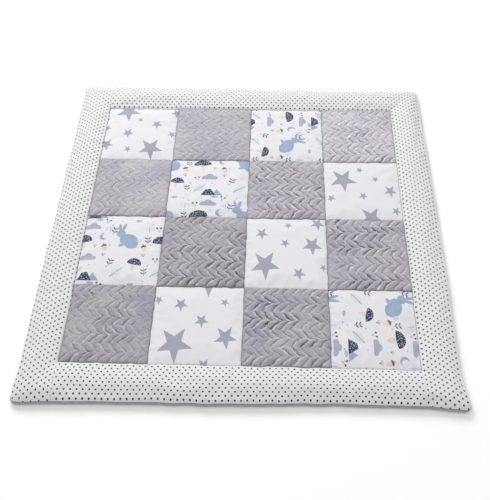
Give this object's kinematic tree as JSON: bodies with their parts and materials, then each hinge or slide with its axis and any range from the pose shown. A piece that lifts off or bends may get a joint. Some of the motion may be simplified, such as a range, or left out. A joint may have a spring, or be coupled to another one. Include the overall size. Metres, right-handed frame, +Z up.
{
  "type": "baby play mat",
  "caption": "Square padded patchwork play mat with a puffed dotted border, embossed plush and printed cotton patches, and a plush back.",
  "frame": {"origin": "centre of the mat's bounding box, on the surface that it lies on", "axes": "+Z up out of the patchwork face, +X to the right along the front border, +Y towards the back border"},
  "size_m": [0.9855, 0.9865, 0.0307],
  "materials": {
    "back_plush": "short soft grey plush",
    "embossed_plush": "grey-lilac plush embossed with a herringbone of leaf shapes",
    "star_cotton": "white woven cotton with grey five-pointed stars",
    "forest_cotton": null,
    "dotted_cotton": "white woven cotton with dark grey pin dots"
  },
  "bodies": {
    "root": {"filled_back": "back_plush", "border_left": "dotted_cotton", "border_right": "dotted_cotton", "border_front": "dotted_cotton", "border_back": "dotted_cotton", "stars_r1c1": "star_cotton", "plush_r1c2": "embossed_plush", "forest_r1c3": "forest_cotton", "plush_r1c4": "embossed_plush", "plush_r2c1": "embossed_plush", "forest_r2c2": "forest_cotton", "plush_r2c3": "embossed_plush", "stars_r2c4": "star_cotton", "forest_r3c1": "forest_cotton", "plush_r3c2": "embossed_plush", "stars_r3c3": "star_cotton", "plush_r3c4": "embossed_plush", "plush_r4c1": "embossed_plush", "stars_r4c2": "star_cotton", "plush_r4c3": "embossed_plush", "forest_r4c4": "forest_cotton"}
  },
  "joints": []
}
